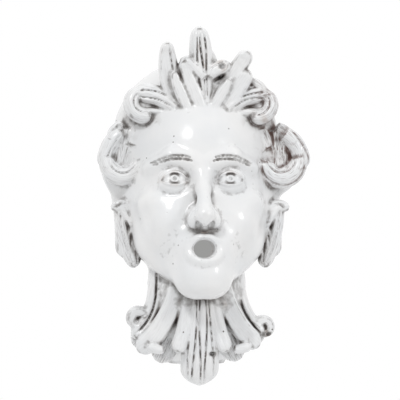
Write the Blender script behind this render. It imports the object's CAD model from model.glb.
# The looks of a wall-hung fountain mask in white glazed earthenware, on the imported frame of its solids.
# The mask is sculpted as one field of distances, joined and carved shape by shape, and then skinned.
# The lists of shapes are in millimetres and the mesh is made in metres. +Z is up, the face looks along -Y, and the
# flat back lies on the wall plane y = 0.
import math

import bpy
import numpy as np
import openvdb
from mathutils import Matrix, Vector


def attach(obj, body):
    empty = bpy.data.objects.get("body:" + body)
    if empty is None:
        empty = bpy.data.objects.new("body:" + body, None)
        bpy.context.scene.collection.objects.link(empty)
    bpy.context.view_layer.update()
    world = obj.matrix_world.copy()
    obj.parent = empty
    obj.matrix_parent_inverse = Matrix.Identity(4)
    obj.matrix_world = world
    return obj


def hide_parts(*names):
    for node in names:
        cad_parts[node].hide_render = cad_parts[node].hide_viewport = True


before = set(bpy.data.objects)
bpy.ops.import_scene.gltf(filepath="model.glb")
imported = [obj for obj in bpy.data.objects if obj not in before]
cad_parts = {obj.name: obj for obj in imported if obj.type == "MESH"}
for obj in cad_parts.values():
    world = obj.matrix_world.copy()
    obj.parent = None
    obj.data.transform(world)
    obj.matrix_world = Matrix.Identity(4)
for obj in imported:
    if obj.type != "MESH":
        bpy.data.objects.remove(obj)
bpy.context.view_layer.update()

# Driving sizes, in millimetres and the same as those of the solids
SKULL = ((-1, -4, 158), (104, 70, 117))
HAIR_CAP = ((-1, -6, 214), (102, 60, 99))
HAIR_PADS = [((-94, -20, 186), (24, 20, 38)), ((100, -20, 188), (26, 20, 38))]
WALL = 15
NECK_HOLLOW = ((0, 0, 64), (46, 76, 48))
FACE_ORIGIN = (0, -54, 94)
TILT = math.radians(13)
THIRD = 80
EYE_WIDTH = 33
EYEBALL = 17
SPOUT_HALF_WIDTH = 12.5
SPOUT_HALF_HEIGHT = 10.5
EYE_LINE = THIRD * 0.72
MOUTH_LINE = -THIRD * 0.36
EYE_CENTRE = (EYE_WIDTH, -47, EYE_LINE)
LIPS_OUT = -74

# The grid of the field
VOXEL = 1.15
LOW = np.array([-128, -153, -92], np.float32)
HIGH = np.array([142, 6, 356], np.float32)
COUNT = np.ceil((HIGH - LOW) / VOXEL).astype(int) + 1
MARGIN = 12  # how far around a shape its distances are worked out
MOST_TRIANGLES = 190000

MILLIMETRE = 0.001


# Places


def window(low, high):
    """Slices of the field over a box, and the coordinates of their voxels, ready to broadcast."""
    first = np.maximum(((np.asarray(low) - LOW) / VOXEL).astype(int), 0)
    last = np.minimum(((np.asarray(high) - LOW) / VOXEL).astype(int) + 2, COUNT)
    lines = [LOW[k] + VOXEL * np.arange(first[k], last[k], dtype=np.float32) for k in range(3)]
    slices = tuple(slice(a, b) for a, b in zip(first, last))
    return slices, np.meshgrid(*lines, indexing="ij", sparse=True)


def to_face(p):
    """World coordinates to the face's own upright frame, whose origin is the base of the nose."""
    x, y, z = p
    y = y - FACE_ORIGIN[1]
    z = z - FACE_ORIGIN[2]
    return x - FACE_ORIGIN[0], y * math.cos(TILT) - z * math.sin(TILT), z * math.cos(TILT) + y * math.sin(TILT)


def from_face(p):
    x, y, z = p
    return (
        x + FACE_ORIGIN[0],
        y * math.cos(TILT) + z * math.sin(TILT) + FACE_ORIGIN[1],
        z * math.cos(TILT) - y * math.sin(TILT) + FACE_ORIGIN[2],
    )


def half_face(p):
    x, y, z = to_face(p)
    return np.abs(x), y, z


# Distances to soft shapes, negative inside


def smooth_min(a, b, blend):
    overlap = np.maximum(blend - np.abs(a - b), 0) / blend
    return np.minimum(a, b) - overlap * overlap * blend / 4


def smooth_max(a, b, blend):
    return -smooth_min(-a, -b, blend)


def ellipsoid(p, centre, radii):
    scaled = [(value - c) / r for value, c, r in zip(p, centre, radii)]
    near = np.sqrt(sum(s * s for s in scaled))
    slope = np.sqrt(sum((s / r) ** 2 for s, r in zip(scaled, radii)))
    return near * (near - 1) / np.maximum(slope, 1e-6)


def capsule(p, start, end, start_radius, end_radius):
    along = [e - s for s, e in zip(start, end)]
    offset = [value - s for value, s in zip(p, start)]
    t = sum(o * a for o, a in zip(offset, along)) / sum(a * a for a in along)
    t = np.clip(t, 0, 1)
    gap = np.sqrt(sum((o - t * a) ** 2 for o, a in zip(offset, along)))
    return gap - start_radius - t * (end_radius - start_radius)


def ball(centre, radii):
    """A shape is its distance function with the middle and reach of the space that it takes."""
    return (lambda p: ellipsoid(p, centre, radii)), centre, max(radii)


def bar(start, end, start_radius, end_radius):
    middle = [(s + e) / 2 for s, e in zip(start, end)]
    reach = math.dist(start, end) / 2 + max(start_radius, end_radius)
    return (lambda p: capsule(p, start, end, start_radius, end_radius)), middle, reach


def cord(points, radii):
    """A round bar along a line of points, with a radius at each."""
    def distance(p):
        return np.minimum.reduce(
            [capsule(p, points[i], points[i + 1], radii[i], radii[i + 1]) for i in range(len(points) - 1)]
        )

    low = np.min(points, axis=0)
    high = np.max(points, axis=0)
    return distance, tuple((low + high) / 2), math.dist(low, high) / 2 + max(radii)


# The field, and how shapes go into it

field = np.full(COUNT, 60, np.float32)


def on_face(shape, blend, carve=False):
    """Join a shape of the face's frame to the field, or carve it out. Both halves of the face get it."""
    distance, middle, reach = shape
    x, y, z = from_face(middle)
    reach += blend + MARGIN
    slices, p = window((-abs(x) - reach, y - reach, z - reach), (abs(x) + reach, y + reach, z + reach))
    d = distance(half_face(p))
    if carve:
        field[slices] = smooth_max(field[slices], -d, blend)
    else:
        field[slices] = smooth_min(field[slices], d, blend)


# Skull, forehead and jaw, and the hollow behind them
# Soft masses that the locks lie on, all blended into the head: beside the eyes, inside the upper rolls, and under
# the crown
MASSES = [
    ((-68, -34, 254), (22, 22, 14)),
    ((74, -34, 254), (22, 22, 14)),
    ((4, -44, 266), (40, 24, 32)),
    ((8, -58, 298), (14, 10, 26)),
]

everywhere, voxel_place = window(LOW, HIGH)
face_place = half_face(voxel_place)

plain_head = ellipsoid(voxel_place, *SKULL)
plain_head = smooth_min(plain_head, ellipsoid(voxel_place, *HAIR_CAP), 10)
plain_head = smooth_min(plain_head, ellipsoid(face_place, (0, 8, 100), (76, 78, 88)), 20)
plain_head = smooth_min(plain_head, ellipsoid(face_place, (0, 4, 36), (80, 66, 92)), 20)
hollow = smooth_min(plain_head + WALL, ellipsoid(voxel_place, *NECK_HOLLOW), 12)
plain_head = smooth_min(plain_head, capsule(face_place, (50, 2, -6), (12, -40, -57), 21, 18), 24)

field[everywhere] = plain_head
for pad in HAIR_PADS + MASSES:
    field[everywhere] = smooth_min(field, ellipsoid(voxel_place, *pad), 12)

# Neck, as a squarish column whose size follows the height: height, half of the width, reach from the wall
NECK = [
    (-58, 34, 26),
    (-54, 36, 28),
    (-42, 62, 42),
    (-26, 68, 58),
    (-6, 62, 78),
    (16, 58, 88),
    (40, 60, 84),
    (62, 58, 60),
    (70, 50, 50),
]
heights, half_widths, reaches = zip(*NECK)
neck_slices, (neck_x, neck_y, neck_z) = window((-90, -105, -70), (90, 6, 80))
half_width = np.interp(neck_z, heights, half_widths)
reach_out = np.interp(neck_z, heights, reaches)
POWER = 2.6
squarish = (np.abs(neck_x / half_width) ** POWER + np.abs(neck_y / reach_out) ** POWER) ** (1 / POWER)
neck_distance = (squarish - 1) * np.minimum(half_width, reach_out) * 0.8
neck_distance = np.maximum(neck_distance, np.maximum(neck_z - heights[-1], heights[0] - neck_z))
field[neck_slices] = smooth_min(field[neck_slices], neck_distance, 6)

# Face: cheeks, brows, chin and the round of the mouth
on_face(ball((0, -50, -61), (27, 23, 19)), 22)
on_face(ball((36, -34, 12), (29, 25, 34)), 16)
on_face(ball((52, -30, 36), (20, 18, 13)), 16)
on_face(ball((EYE_WIDTH + 2, -74, EYE_LINE), (25, 22, 16)), 10, carve=True)
on_face(bar((12, -60, THIRD + 1), (36, -58, THIRD + 7), 9, 9), 8)
on_face(bar((36, -58, THIRD + 7), (60, -36, THIRD - 2), 9, 8), 8)
on_face(ball((0, -48, MOUTH_LINE + 2), (34, 26, 32)), 20)

# Nose
on_face(bar((0, -58, EYE_LINE + 18), (0, -70, EYE_LINE - 14), 8, 7.5), 10)
on_face(bar((0, -70, EYE_LINE - 14), (0, -86, 11), 7.5, 9), 6)
on_face(ball((0, -86, 8), (11, 11, 10)), 5)
on_face(ball((12, -73, 5), (7.5, 12, 8.5)), 4)
on_face(ball((0, -62, 12), (17, 22, 16)), 8)
on_face(bar((0, -88, 1), (0, -72, -4), 4, 4), 4)
on_face(ball((7, -80, -2), (3.6, 6.5, 5.5)), 3, carve=True)
on_face(bar((0, -80, -7), (0, -81, -13), 2.4, 3), 4, carve=True)

# Lips, as two rounded bands that thicken towards the middle
for direction, thickness in ((1, 4.6), (-1, 5.6)):
    turns = np.linspace(-0.16, math.pi + 0.16, 19)
    across = np.cos(turns)
    rise = np.sin(turns)
    bow = 1.6 * np.exp(-((across / 0.2) ** 2)) * (direction > 0)
    lip_points = [
        (a * (SPOUT_HALF_WIDTH + 6), LIPS_OUT + 8 * a * a, MOUTH_LINE + direction * r * (SPOUT_HALF_HEIGHT + 4) - dip)
        for a, r, dip in zip(across, rise, bow)
    ]
    lip_radii = 2.6 + (thickness - 2.6) * np.maximum(rise, 0)
    half = [i for i, point in enumerate(lip_points) if point[0] > -4]
    on_face(cord([lip_points[i] for i in half], [lip_radii[i] for i in half]), 5)
on_face(ball((0, LIPS_OUT - 4, MOUTH_LINE), (14, 16, 12)), 3, carve=True)

# Eyes: ball, iris and pupil, and lids that are patches of a slightly larger ball


def eye_angles(p):
    """Distance from the eye's centre, and the angles across and up from straight ahead."""
    x, y, z = (value - c for value, c in zip(p, EYE_CENTRE))
    return np.sqrt(x * x + y * y + z * z), np.arctan2(x, -y), np.arctan2(z, np.sqrt(x * x + y * y))


LID_CORNER = math.radians(62)
LID_OUT = 2.6


def lids(p):
    radius, across, up = eye_angles(p)
    bend = np.cos(np.clip(across / LID_CORNER, -1, 1) * math.pi / 2)
    upper_edge = math.radians(23) * bend
    lower_edge = -math.radians(17) * bend
    upper = np.abs(radius - EYEBALL) - LID_OUT
    open_gap = np.minimum(upper_edge - up, up - lower_edge) * radius
    fold = np.exp(-(((up - upper_edge - math.radians(17) * (0.4 + 0.6 * bend)) * radius / 1.6) ** 2))
    bag = np.exp(-(((up - lower_edge + math.radians(16) * (0.4 + 0.6 * bend)) * radius / 1.8) ** 2))
    return smooth_max(upper + 1.6 * fold + 0.9 * bag, open_gap, 1.2)


IRIS = 6.6
PUPIL = 2.7
IRIS_UP = math.radians(3)


def iris_groove(p):
    radius, across, up = eye_angles(p)
    ring = np.sqrt(across ** 2 + (up - IRIS_UP) ** 2) * EYEBALL
    return np.sqrt((ring - IRIS) ** 2 + (radius - EYEBALL - 0.3) ** 2) - 1.1


on_face(ball(EYE_CENTRE, (EYEBALL,) * 3), 1.5)
on_face((lids, EYE_CENTRE, EYEBALL + 4), 2)
on_face((iris_groove, EYE_CENTRE, EYEBALL + 4), 1, carve=True)
pupil_place = (EYE_WIDTH, -47 - EYEBALL - 0.5, EYE_LINE + EYEBALL * IRIS_UP)
on_face(ball(pupil_place, (PUPIL, 3.2, PUPIL)), 1, carve=True)


def front_of(x, z):
    """How far out, along y, the front of the field lies at a place on the wall's plane."""
    column = field[round((x - LOW[0]) / VOXEL), :, round((z - LOW[2]) / VOXEL)]
    first = int(np.argmax(column < 0))
    return LOW[1] + VOXEL * (first - column[first] / (column[first] - column[first - 1]))


# Eyebrows: rows of short grooves that lean outwards along each brow
for row, lift in ((0, 0.5), (1, 4.5)):
    for step in range(10):
        t = (step + 0.5 * row) / 10
        _, _, across_line = 0, 0, THIRD + lift + 13 * t - 19 * t * t
        ends = []
        for far in (0, 1):
            x = 13 + 44 * t + 6.5 * far
            wx, _, wz = from_face((x, -60, across_line + 3 * far * (1 - 1.6 * t)))
            ends.append(to_face((wx, front_of(wx, wz) + 0.3, wz)))
        on_face(bar(*ends, 1.2, 0.6), 1.2, carve=True)

# Locks of hair and leaves are bands swept along a path in the wall's plane. A path starts towards heading, in
# degrees from straight up, and turns to the right as it grows; lean tips it out of the wall and roll adds to the
# lean. Root and tip are the widths at its ends as shares of half_width. The front has a gutter of
# the given depth, or a rib when that is negative, and is cut into strands by grooves. A leaf has a flat section with
# firm edges and a dished front; other locks are round.
LOCK = dict(
    turn=0, turn_power=1, lean=0, roll=0, roll_power=2, half_width=8, thickness=9, gutter=4,
    root=0.75, tip=0.75, widest=0.4, grooves=(), groove=3, leaf=False, hatch=0.35,
)
GROOVE_WIDTH = 1.1
BACK_SHARE = 0.8
END_SHARE = 0.25  # how far a lock runs past its last station, as a share of its width there


def lock_stations(lock):
    """Middle, side, front, half of the width and thickness at even steps along a lock."""
    count = int(8 + lock["length"] / 4)
    fine = 6
    t = np.linspace(0, 1, count * fine + 1)
    heading = np.radians(lock["heading"] + lock["turn"] * t ** lock["turn_power"])
    lean = np.radians(lock["lean"] + lock["roll"] * t ** lock["roll_power"])
    along = np.stack([np.cos(lean) * np.sin(heading), -np.sin(lean), np.cos(lean) * np.cos(heading)], 1)
    side = np.stack([np.cos(heading), 0 * heading, -np.sin(heading)], 1)
    front = np.cross(side, along)
    steps = (along[1:] + along[:-1]) / 2 * lock["length"] / (count * fine)
    middle = np.array(lock["start"]) + np.vstack([np.zeros(3), np.cumsum(steps, 0)])
    to_root = np.maximum(1 - t / lock["widest"], 0)
    to_tip = np.maximum((t - lock["widest"]) / (1 - lock["widest"]), 0)
    swell = 1 - (1 - lock["root"]) * to_root ** 2 - (1 - lock["tip"]) * to_tip ** 2
    cap = lock["tip"] * lock["half_width"] / lock["length"]
    end = np.maximum(t - 1 + cap, 0) / cap
    width = swell * np.sqrt(1 - 0.87 * end * end)
    every = slice(None, None, fine)
    sizes = np.stack([lock["half_width"] * width, lock["thickness"] * np.sqrt(width)], 1)
    return [a[every].astype(np.float32) for a in (middle, side, front, sizes)]


# Where each point of the skin lies on its lock, for the hair-fine streaks of the finish
across_layer = np.zeros(COUNT, np.float32)
along_layer = np.zeros(COUNT, np.float32)
hatch_layer = np.zeros(COUNT, np.float32)


def add_lock(spec, blend=2):
    lock = {**LOCK, **spec}
    middle, side, front, sizes = lock_stations(lock)
    reach = max(lock["half_width"], lock["thickness"]) + MARGIN
    slices, p = window(middle.min(0) - reach, middle.max(0) + reach)
    shape = np.broadcast_shapes(*(value.shape for value in p))
    points = np.stack([np.broadcast_to(value, shape).ravel() for value in p], 1)
    nearest = np.full(len(points), np.inf, np.float32)
    place = np.zeros(len(points), np.float32)
    for i in range(len(middle) - 1):
        step = middle[i + 1] - middle[i]
        offset = points - middle[i]
        s = np.clip(offset @ step / (step @ step), 0, 1)
        gap = ((offset - s[:, None] * step) ** 2).sum(1)
        closer = gap < nearest
        nearest[closer] = gap[closer]
        place[closer] = i + s[closer]
    close = nearest < reach * reach
    first = np.minimum(place[close].astype(int), len(middle) - 2)
    part = (place[close] - first)[:, None]

    def between(values):
        return values[first] * (1 - part) + values[first + 1] * part

    offset = points[close] - between(middle)
    side_here = between(side)
    front_here = between(front)
    wide, thick = between(sizes).T
    u = (offset * side_here).sum(1) / wide
    v = (offset * front_here).sum(1)
    w = (offset * np.cross(side_here, front_here)).sum(1)
    t = place[close] / (len(middle) - 1)
    inside = np.clip(1 - u * u, 0, 1)
    fade = np.clip((1 - t) * 7, 0, 1) * np.clip(t * 6, 0, 1)
    dish = np.clip(1 - (u / 0.85) ** 2, 0, 1) if lock["leaf"] else np.exp(-((u / 0.42) ** 2))
    valley = 0
    for place_across in lock["grooves"]:
        wander = 0.07 * np.sin(6 * t + 9 * place_across + lock["start"][0])
        valley = valley + np.exp(-(((u - place_across - wander) * wide / GROOVE_WIDTH) ** 2))
    v = v + fade * (lock["gutter"] * dish + lock["groove"] * valley * np.sqrt(inside))
    deep = np.where(v > 0, thick, thick * BACK_SHARE)
    end = END_SHARE * wide
    bulk = u * u if lock["leaf"] else 1
    near = np.sqrt(u * u * bulk + (v / deep) ** 2 + (w / end) ** 2)
    slope = np.sqrt((u * bulk * (2 if lock["leaf"] else 1) / wide) ** 2 + (v / deep ** 2) ** 2 + (w / end ** 2) ** 2)
    close_distance = near * (near - 1) / np.maximum(slope, 1e-6)
    distance = np.full(len(points), reach, np.float32)
    distance[close] = np.minimum(close_distance, reach)
    distance = distance.reshape(shape)
    nearer = distance < field[slices]
    for layer, values in ((across_layer, u * wide), (along_layer, t * lock["length"]), (hatch_layer, lock["hatch"])):
        spread = np.zeros(len(points), np.float32)
        spread[close] = values
        layer[slices] = np.where(nearer, spread.reshape(shape), layer[slices])
    field[slices] = smooth_min(field[slices], distance, blend)


# Crown of upright leaves over the forehead. The plume in the middle has a lobe on either side.
BLADE = dict(gutter=4, thickness=12, roll=15, leaf=True, hatch=0.15)
FLAME = dict(BLADE, root=0.8, tip=0.5)
CROWN = [
    dict(BLADE, start=(13, -60, 248), heading=22, turn=-4, length=40, half_width=11, thickness=9, root=1),
    dict(FLAME, start=(-24, -60, 250), heading=-24, turn=26, length=82, half_width=13, grooves=(0.3,)),
    dict(FLAME, start=(1, -66, 250), heading=-26, turn=8, length=62, half_width=10, gutter=1),
    dict(FLAME, start=(-15, -66, 250), heading=-28, turn=12, length=48, half_width=8, gutter=1),
    dict(BLADE, start=(6, -62, 254), heading=-5, length=94, half_width=14, thickness=15, gutter=0, root=0.4,
         widest=0.62, tip=0.6, grooves=(-0.4, 0, 0.35), groove=4),
    dict(BLADE, start=(4, -66, 286), heading=-34, turn=-30, length=35, half_width=8, gutter=-1, tip=1, grooves=(0.5,)),
    dict(BLADE, start=(10, -66, 288), heading=30, turn=70, length=30, half_width=9, gutter=-1, tip=1, grooves=(-0.5,)),
    dict(BLADE, start=(15, -60, 252), heading=33, length=80, half_width=10.5, tip=0.9, root=0.8, widest=0.6,
         grooves=(0.75,)),
    dict(FLAME, start=(26, -60, 248), heading=38, turn=-6, length=58, half_width=11, gutter=2, tip=0.7),
    dict(FLAME, start=(14, -66, 248), heading=30, length=44, half_width=8, gutter=0, thickness=9),
]

# Rolled locks on either side. An upper roll comes from the hairline and curls under itself, and a lower roll hangs
# beside the eye. The inside of each is a streaked hollow.
ROLL = dict(half_width=10, thickness=14, gutter=0, tip=1)
ROLL_ROOT = dict(ROLL, turn_power=1.6, half_width=13, lean=-12)
HOLLOW = dict(gutter=5, thickness=9, tip=0.9, hatch=1, groove=1.6)
ROLLS = [
    dict(HOLLOW, start=(-44, -46, 252), heading=-80, turn=-50, length=44, half_width=12, grooves=(-0.5, 0, 0.5)),
    dict(ROLL_ROOT, start=(-28, -60, 250), heading=-50, turn=-50, length=54, grooves=(-0.35, 0.3)),
    dict(ROLL, start=(-73, -50, 270), heading=-100, turn=-190, turn_power=0.8, length=50, lean=8, grooves=(-0.3,)),
    dict(ROLL, start=(-38, -56, 244), heading=-72, turn=-46, length=46, half_width=5, thickness=10, lean=-6),
    dict(start=(-92, -36, 232), heading=-120, turn=-30, length=22, half_width=7, thickness=12),
    dict(start=(-72, -40, 232), heading=-140, turn=-30, length=26, half_width=7, thickness=10),
    dict(HOLLOW, start=(-84, -36, 224), heading=-162, turn=-16, length=54, half_width=13, thickness=13,
         grooves=(-0.6, -0.2, 0.2, 0.6)),
    dict(ROLL, start=(-95, -40, 222), heading=-130, turn=-50, length=46, grooves=(-0.3, -0.75)),
    dict(ROLL, start=(-111, -42, 190), heading=-178, turn=-180, length=62, lean=6, grooves=(-0.3, -0.75), half_width=12),
    dict(HOLLOW, start=(46, -46, 252), heading=84, turn=44, length=42, half_width=12, grooves=(-0.5, 0, 0.5)),
    dict(ROLL_ROOT, start=(30, -60, 250), heading=52, turn=46, length=56, grooves=(-0.5, -0.1, 0.4)),
    dict(ROLL, start=(78, -50, 268), heading=104, turn=190, turn_power=0.8, length=48, lean=8, grooves=(0.2,)),
    dict(ROLL, start=(40, -56, 244), heading=76, turn=30, length=38, half_width=6, thickness=10, lean=-6),
    dict(start=(62, -54, 284), heading=110, turn=40, length=24, half_width=6, thickness=10, gutter=1),
    dict(start=(96, -36, 230), heading=120, turn=30, length=26, half_width=8, thickness=12),
    dict(start=(76, -40, 226), heading=150, turn=20, length=24, half_width=7, thickness=10),
    dict(HOLLOW, start=(96, -34, 224), heading=172, turn=6, length=54, half_width=13, thickness=11,
         grooves=(-0.6, -0.2, 0.2, 0.6)),
    dict(ROLL, start=(105, -40, 222), heading=126, turn=54, length=48, half_width=11, grooves=(-0.6,)),
    dict(ROLL, start=(121, -42, 190), heading=178, turn=180, length=68, lean=6, half_width=13, grooves=(-0.6, 0.45)),
]

# Each ear is a rim in two bands and a long lobe
EAR_TOP = dict(turn_power=1.4, length=40, half_width=7, gutter=2, tip=1, hatch=0.2)
EAR_RIM = dict(length=72, gutter=1, thickness=11, tip=1, root=0.9, hatch=0.6, grooves=(0,), groove=2)
EAR_LOBE = dict(heading=180, length=46, half_width=9, thickness=12, tip=1, grooves=(-0.4, 0.3), hatch=0.6)
EAR_STRAP = dict(turn=20, length=36, half_width=5, thickness=9, gutter=0, hatch=0)
EARS = [
    dict(HOLLOW, start=(-88, -34, 132), heading=180, length=60, half_width=13, grooves=(-0.4, 0, 0.4)),
    dict(EAR_TOP, start=(-77, -42, 116), heading=-4, turn=-150),
    dict(EAR_RIM, start=(-95, -38, 134), heading=-180, turn=-26),
    dict(EAR_LOBE, start=(-79, -38, 106)),
    dict(EAR_STRAP, start=(-96, -42, 134), heading=138),
    dict(HOLLOW, start=(89, -34, 132), heading=180, length=60, half_width=13, grooves=(-0.4, 0, 0.4)),
    dict(EAR_TOP, start=(81, -42, 116), heading=4, turn=150),
    dict(EAR_RIM, start=(97, -38, 134), heading=180, turn=26),
    dict(EAR_LOBE, start=(81, -38, 106)),
    dict(EAR_STRAP, start=(98, -42, 134), heading=-138, turn=-20),
]

# Acanthus leaves of the collar come from under the chin and turn outwards, and the outermost end in curls
LEAF = dict(thickness=12, gutter=1.5, tip=1.1, hatch=0.15)
BROAD_LEAF = dict(LEAF, half_width=12, lean=10, roll=-26, roll_power=1.2, leaf=True)
INNER_LEAF = dict(LEAF, length=104, lean=6, roll=-4, half_width=9.5, widest=0.7, root=0.8, grooves=(0,), groove=1)
SIDE_LEAF = dict(LEAF, turn_power=1.8, lean=8, grooves=(0.1,), groove=4, root=0.9)
UNDER_LEAF = dict(LEAF, length=52, half_width=15, thickness=8, lean=-8, hatch=0.8, grooves=(-0.5, 0, 0.5), groove=2)
COLLAR = [
    dict(UNDER_LEAF, start=(-26, -52, -6), heading=206),
    dict(UNDER_LEAF, start=(-44, -44, -2), heading=226, length=46),
    dict(UNDER_LEAF, start=(26, -52, -8), heading=154, length=48),
    dict(UNDER_LEAF, start=(46, -42, 0), heading=134, length=42),
    dict(SIDE_LEAF, start=(-50, -44, 60), heading=180, turn=56, length=92, half_width=11),
    dict(LEAF, start=(-74, -54, -8), heading=-90, turn=250, length=34, half_width=7, gutter=2),
    dict(BROAD_LEAF, start=(-24, -66, 62), heading=181, turn=50, length=116),
    dict(INNER_LEAF, start=(-11, -74, 62), heading=180, turn=20),
    dict(INNER_LEAF, start=(10, -74, 62), heading=180, turn=-22),
    dict(BROAD_LEAF, start=(22, -66, 62), heading=178, turn=-48, length=110, gutter=4),
    dict(SIDE_LEAF, start=(44, -44, 58), heading=177, turn=-56, length=90, half_width=10),
    dict(LEAF, start=(78, -54, -20), heading=80, turn=-230, length=34, half_width=6, gutter=2),
]
for side, middle in ((-1, -33), (1, 28)):
    COLLAR.append(dict(LEAF, start=(side * 12 + middle, -76, -37), heading=90 * side, turn=-30 * side, length=20,
                       half_width=6, thickness=9, gutter=0))

# The tongue hangs from under the chin and spreads into a fluted fan
TONGUE = [
    dict(LEAF, start=(-1, -80, 48), heading=180, length=130, half_width=23, thickness=14, gutter=0, root=0.45,
         widest=0.86, tip=0.8, lean=4, roll=-46, grooves=(-0.62, -0.28, 0.05, 0.36, 0.68), groove=3.5),
]

for lock in CROWN + ROLLS + EARS + COLLAR + TONGUE:
    add_lock(lock)

# Deep pits in the hair and the collar: inside the rolls, under the right lobe of the crown and between the leaves
PITS = [
    ((76, -56, 239), (4.5, 9, 3.5)),
    ((25, -80, 300), (4, 9, 4)),
    ((-19, -82, 311), (2.5, 6, 2.5)),
    ((97, -48, 193), (5, 10, 15)),
    ((-88, -48, 190), (5, 6, 13)),
    ((-76, -66, -4), (3, 5, 3)),
    ((13, -86, -42), (4, 9, 3)),
    ((82, -62, -20), (2.5, 6, 2.5)),
]
for middle, radii in PITS:
    pit_slices, pit_place = window(np.subtract(middle, 24), np.add(middle, 24))
    field[pit_slices] = smooth_max(field[pit_slices], -ellipsoid(pit_place, middle, radii), 3)

# Hollow, spout hole and flat back
field[everywhere] = smooth_max(field, -hollow, 4)
spout_middle = from_face((0, LIPS_OUT, MOUTH_LINE))
spout_slices, (spout_x, spout_y, spout_z) = window((-40, -153, 50), (40, -52, 115))
spout_ring = np.sqrt(
    (spout_x / SPOUT_HALF_WIDTH) ** 2 + ((spout_z - spout_middle[2]) / SPOUT_HALF_HEIGHT) ** 2
)
spout_distance = (spout_ring - 1) * SPOUT_HALF_HEIGHT + 0 * spout_y
field[spout_slices] = smooth_max(field[spout_slices], -spout_distance, 2)
field[everywhere] = np.maximum(field, voxel_place[1])


# The skin of the field


def sample(values, points):
    """Values of a grid between its voxels."""
    place = (points - LOW) / VOXEL
    base = np.clip(np.floor(place).astype(int), 0, COUNT - 2)
    part = np.clip(place - base, 0, 1)
    total = np.zeros(len(points))
    for corner in np.ndindex(2, 2, 2):
        weight = np.prod(np.where(corner, part, 1 - part), axis=1)
        total += weight * values[tuple((base + corner).T)]
    return total


grid = openvdb.FloatGrid(60)
grid.copyFromArray(field)
corners, quads = grid.convertToQuads(0)
corners = (LOW + VOXEL * corners) * MILLIMETRE
skin = bpy.data.meshes.new("skin")
skin.from_pydata(corners, [], quads)
raw = bpy.data.objects.new("skin", skin)
bpy.context.scene.collection.objects.link(raw)
thinning = raw.modifiers.new("thinning", "DECIMATE")
thinning.ratio = min(1, MOST_TRIANGLES / (2 * len(quads)))
depsgraph = bpy.context.evaluated_depsgraph_get()
mask_mesh = bpy.data.meshes.new_from_object(raw.evaluated_get(depsgraph))
bpy.data.objects.remove(raw)
mask_mesh.name = "mask_casting"
mask_mesh.shade_smooth()
mask = bpy.data.objects.new("mask_casting", mask_mesh)
bpy.context.scene.collection.objects.link(mask)

# What the finish depends on, worked out at each point of the skin
vertex_count = len(mask_mesh.vertices)
points = np.empty(vertex_count * 3)
normals = np.empty(vertex_count * 3)
mask_mesh.vertices.foreach_get("co", points)
mask_mesh.vertex_normals.foreach_get("vector", normals)
points = points.reshape(-1, 3) / MILLIMETRE
normals = normals.reshape(-1, 3)


def closeness(reach):
    """0 on open ground and 1 deep in a crevice whose size is about the reach."""
    return np.clip(1 - sample(field, points + normals * reach) / reach, 0, 1)


def sharpness(reach):
    """0 on flat ground and 1 on a ridge that is thinner than the reach."""
    return np.clip(1 + sample(field, points - normals * reach) / reach, 0, 1)


crevice = 0.6 * closeness(2) + 0.7 * closeness(5)
shelter = closeness(13)
edge = sharpness(3)
inner = np.clip(1 - sample(hollow, points) / 3, 0, 1)
back = np.clip((points[:, 1] + 1.5) / 1.5, 0, 1)
bare = np.maximum(np.clip(1 + (-np.abs(sample(hollow, points))) / 2.5, 0, 1), back)
bare *= points[:, 1] > -100
finish_layers = {
    "crevice": crevice,
    "shelter": shelter,
    "edge": edge,
    "bare": bare,
    "across": sample(across_layer, points),
    "along": sample(along_layer, points),
    "hatch": sample(hatch_layer, points),
    "tan": np.clip((points[:, 0] - 55) / 30, 0, 1) * np.clip((points[:, 2] - 150) / 20, 0, 1),
}
for name, values in finish_layers.items():
    layer = mask_mesh.attributes.new(name, "FLOAT", "POINT")
    layer.data.foreach_set("value", values.astype(np.float32))


# Materials


def add(tree, kind, inputs=None, **settings):
    """A node with its settings, and with values or links in its sockets."""
    node = tree.nodes.new(kind)
    for key, value in settings.items():
        setattr(node, key, value)
    for key, value in (inputs or {}).items():
        if isinstance(value, bpy.types.NodeSocket):
            tree.links.new(value, node.inputs[key])
        else:
            node.inputs[key].default_value = value
    return node


def new_material(name):
    material = bpy.data.materials.new(name)
    material.use_nodes = True
    material.node_tree.nodes.clear()
    return material, material.node_tree


def mix_colour(tree, factor, first, second):
    node = add(tree, "ShaderNodeMix", data_type="RGBA")
    for socket, value in ((0, factor), (6, first), (7, second)):
        if isinstance(value, bpy.types.NodeSocket):
            tree.links.new(value, node.inputs[socket])
        else:
            node.inputs[socket].default_value = value
    return node.outputs[2]


def span(tree, value, low, high, to_low=0, to_high=1):
    """A value of low..high stretched over to_low..to_high and held there."""
    inputs = {"Value": value, "From Min": low, "From Max": high, "To Min": to_low, "To Max": to_high}
    return add(tree, "ShaderNodeMapRange", inputs).outputs[0]


def math_node(tree, operation, first, second):
    return add(tree, "ShaderNodeMath", {0: first, 1: second}, operation=operation).outputs[0]


def noise(tree, place, scale, detail=3):
    return add(tree, "ShaderNodeTexNoise", {"Vector": place, "Scale": scale, "Detail": detail}).outputs[0]


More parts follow.
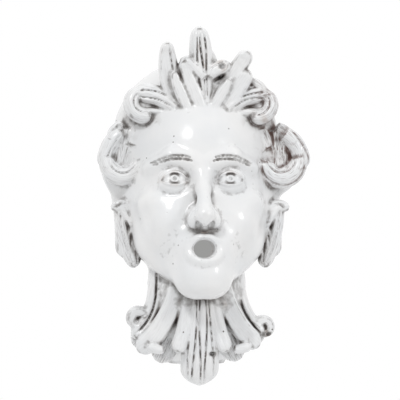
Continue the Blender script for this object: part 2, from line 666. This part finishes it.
def glazed_earthenware():
    material, tree = new_material("white_glaze")
    place = add(tree, "ShaderNodeTexCoord").outputs["Object"]
    crevice_here, shelter_here, edge_here, bare_here, across, along, hatch, tan = (
        add(tree, "ShaderNodeAttribute", attribute_name=name).outputs["Fac"]
        for name in ("crevice", "shelter", "edge", "bare", "across", "along", "hatch", "tan")
    )
    clouds = span(tree, noise(tree, place, 22), 0.35, 0.65)
    colour = mix_colour(tree, clouds, (0.80, 0.81, 0.82, 1), (0.85, 0.85, 0.85, 1))
    speckle = noise(tree, place, 160, 5)
    veil = math_node(tree, "ADD", shelter_here, span(tree, noise(tree, place, 35, 4), 0.3, 0.7, -0.1, 0.1))
    colour = mix_colour(tree, span(tree, veil, 0.4, 1.0, 0, 0.35), colour, (0.47, 0.455, 0.44, 1))
    grime = math_node(tree, "ADD", crevice_here, span(tree, speckle, 0.3, 0.7, -0.18, 0.18))
    colour = mix_colour(tree, span(tree, grime, 0.3, 0.75, 0, 0.85), colour, (0.15, 0.135, 0.125, 1))
    colour = mix_colour(tree, span(tree, grime, 0.8, 1.2, 0, 0.9), colour, (0.06, 0.045, 0.04, 1))
    streak_place = add(
        tree,
        "ShaderNodeCombineXYZ",
        {"X": math_node(tree, "MULTIPLY", across, 0.9), "Y": math_node(tree, "MULTIPLY", along, 0.07)},
    ).outputs[0]
    streak_noise = noise(tree, streak_place, 1.0, 3)
    streak = math_node(tree, "MULTIPLY", span(tree, streak_noise, 0.5, 0.66), hatch)
    colour = mix_colour(tree, math_node(tree, "MULTIPLY", streak, 0.75), colour, (0.20, 0.18, 0.17, 1))
    thin = math_node(tree, "ADD", edge_here, span(tree, noise(tree, place, 45, 4), 0.35, 0.75, -0.6, 0.15))
    colour = mix_colour(tree, span(tree, thin, 0.2, 0.8, 0, 0.5), colour, (0.50, 0.41, 0.36, 1))
    stain = math_node(tree, "MULTIPLY", tan, span(tree, math_node(tree, "ADD", grime, streak), 0.1, 0.9))
    colour = mix_colour(tree, stain, colour, (0.16, 0.10, 0.085, 1))
    pits = add(tree, "ShaderNodeTexVoronoi", {"Vector": place, "Scale": 70}).outputs["Distance"]
    pit = span(tree, pits, 0.05, 0.09, 1, 0)
    chosen = span(tree, noise(tree, place, 40, 1), 0.55, 0.6)
    pit = math_node(tree, "MULTIPLY", pit, chosen)
    colour = mix_colour(tree, pit, colour, (0.10, 0.085, 0.075, 1))

    clay_cloud = noise(tree, place, 60, 6)
    clay = mix_colour(tree, clay_cloud, (0.42, 0.26, 0.19, 1), (0.62, 0.44, 0.34, 1))
    ragged = math_node(tree, "ADD", bare_here, span(tree, noise(tree, place, 50, 5), 0.3, 0.7, -0.35, 0.35))
    bare = span(tree, ragged, 0.45, 0.55)
    colour = mix_colour(tree, bare, colour, clay)

    gloss = span(tree, noise(tree, place, 30), 0.3, 0.7, 0.14, 0.28)
    gloss = math_node(tree, "ADD", gloss, span(tree, grime, 0.4, 1.1, 0, 0.35))
    roughness = math_node(tree, "MAXIMUM", gloss, span(tree, bare, 0, 1, 0, 0.9))
    relief = math_node(tree, "ADD", noise(tree, place, 55, 4), span(tree, noise(tree, place, 420, 3), 0, 1, 0, 0.12))
    relief = math_node(tree, "SUBTRACT", relief, pit)
    relief = math_node(tree, "SUBTRACT", relief, math_node(tree, "MULTIPLY", streak, 0.5))
    bump = add(tree, "ShaderNodeBump", {"Height": relief, "Strength": 0.35, "Distance": 0.0012}).outputs[0]
    shader = add(
        tree,
        "ShaderNodeBsdfPrincipled",
        {"Base Color": colour, "Roughness": roughness, "Normal": bump, "IOR": 1.5},
    )
    add(tree, "ShaderNodeOutputMaterial", {"Surface": shader.outputs[0]})
    return material


mask_mesh.materials.append(glazed_earthenware())
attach(mask, "root")
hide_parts("fountain_mask")

# Studio: a pale floor below the mask, a wall patch that shows through the spout hole, and soft light


def plain_material(name, colour, roughness):
    material, tree = new_material(name)
    shader = add(tree, "ShaderNodeBsdfPrincipled", {"Base Color": colour, "Roughness": roughness})
    add(tree, "ShaderNodeOutputMaterial", {"Surface": shader.outputs[0]})
    return material


FLOOR_HEIGHT = -0.32
bpy.ops.mesh.primitive_circle_add(vertices=96, radius=1.4, fill_type="NGON", location=(0, 0, FLOOR_HEIGHT))
floor = bpy.context.object
floor.name = "floor"
floor.data.materials.append(plain_material("pale_floor", (0.85, 0.85, 0.85, 1), 0.6))


def wall_patch():
    """A small grey disc behind the spout hole that only shows from the front."""
    material, tree = new_material("shaded_wall")
    side = add(tree, "ShaderNodeNewGeometry").outputs["Backfacing"]
    grey = add(tree, "ShaderNodeEmission", {"Color": (0.33, 0.33, 0.325, 1), "Strength": 1})
    clear = add(tree, "ShaderNodeBsdfTransparent")
    mix = add(tree, "ShaderNodeMixShader", {0: side, 1: grey.outputs[0], 2: clear.outputs[0]})
    add(tree, "ShaderNodeOutputMaterial", {"Surface": mix.outputs[0]})
    bpy.ops.mesh.primitive_circle_add(
        vertices=48, radius=0.035, fill_type="NGON", location=(0, 0.004, 0.083), rotation=(math.pi / 2, 0, 0)
    )
    patch = bpy.context.object
    patch.name = "wall_patch"
    patch.data.materials.append(material)


wall_patch()

world = bpy.data.worlds.new("studio")
world.use_nodes = True
bpy.context.scene.world = world
sky = world.node_tree
direction = add(sky, "ShaderNodeTexCoord").outputs["Generated"]
directions = add(sky, "ShaderNodeSeparateXYZ", {0: direction}).outputs
behind = span(sky, directions["Y"], -0.2, 0.25, 0, 1)
overhead = span(sky, directions["Z"], -0.5, 0.9, 0.34, 0.85)
sky.links.new(math_node(sky, "MAXIMUM", behind, overhead), sky.nodes["Background"].inputs["Strength"])
sky.nodes["Background"].inputs["Color"].default_value = (1, 1, 1, 1)
bpy.context.scene.view_settings.view_transform = "Standard"


def softbox(name, place, aim, size, power):
    data = bpy.data.lights.new(name, "AREA")
    data.shape = "DISK"
    data.size = size
    data.energy = power
    lamp = bpy.data.objects.new(name, data)
    lamp.location = place
    lamp.rotation_euler = (Vector(aim) - Vector(place)).to_track_quat("-Z", "Y").to_euler()
    bpy.context.scene.collection.objects.link(lamp)


softbox("key", (-0.9, -1.7, 1.9), (0, 0, 0.15), 0.35, 18)
softbox("fill", (1.6, -1.6, 1.0), (0, 0, 0.15), 0.35, 9)

# Camera at the photograph's viewing angle
AIM = (-0.001, -0.074, 0.1404)
DISTANCE = 2.2
AZIMUTH = math.radians(-4.5)
ELEVATION = math.radians(-1)
ROLL_ANGLE = math.radians(1.5)
VIEW_WIDTH = 0.476
camera_data = bpy.data.cameras.new("camera")
camera = bpy.data.objects.new("camera", camera_data)
bpy.context.scene.collection.objects.link(camera)
camera.location = (
    AIM[0] + DISTANCE * math.sin(AZIMUTH) * math.cos(ELEVATION),
    AIM[1] - DISTANCE * math.cos(AZIMUTH) * math.cos(ELEVATION),
    AIM[2] + DISTANCE * math.sin(ELEVATION),
)
camera.rotation_mode = "XYZ"
camera.rotation_euler = (math.pi / 2 - ELEVATION, 0, AZIMUTH)
camera_data.sensor_fit = "HORIZONTAL"
camera_data.angle = 2 * math.atan(VIEW_WIDTH / 2 / DISTANCE)
bpy.context.scene.camera = camera
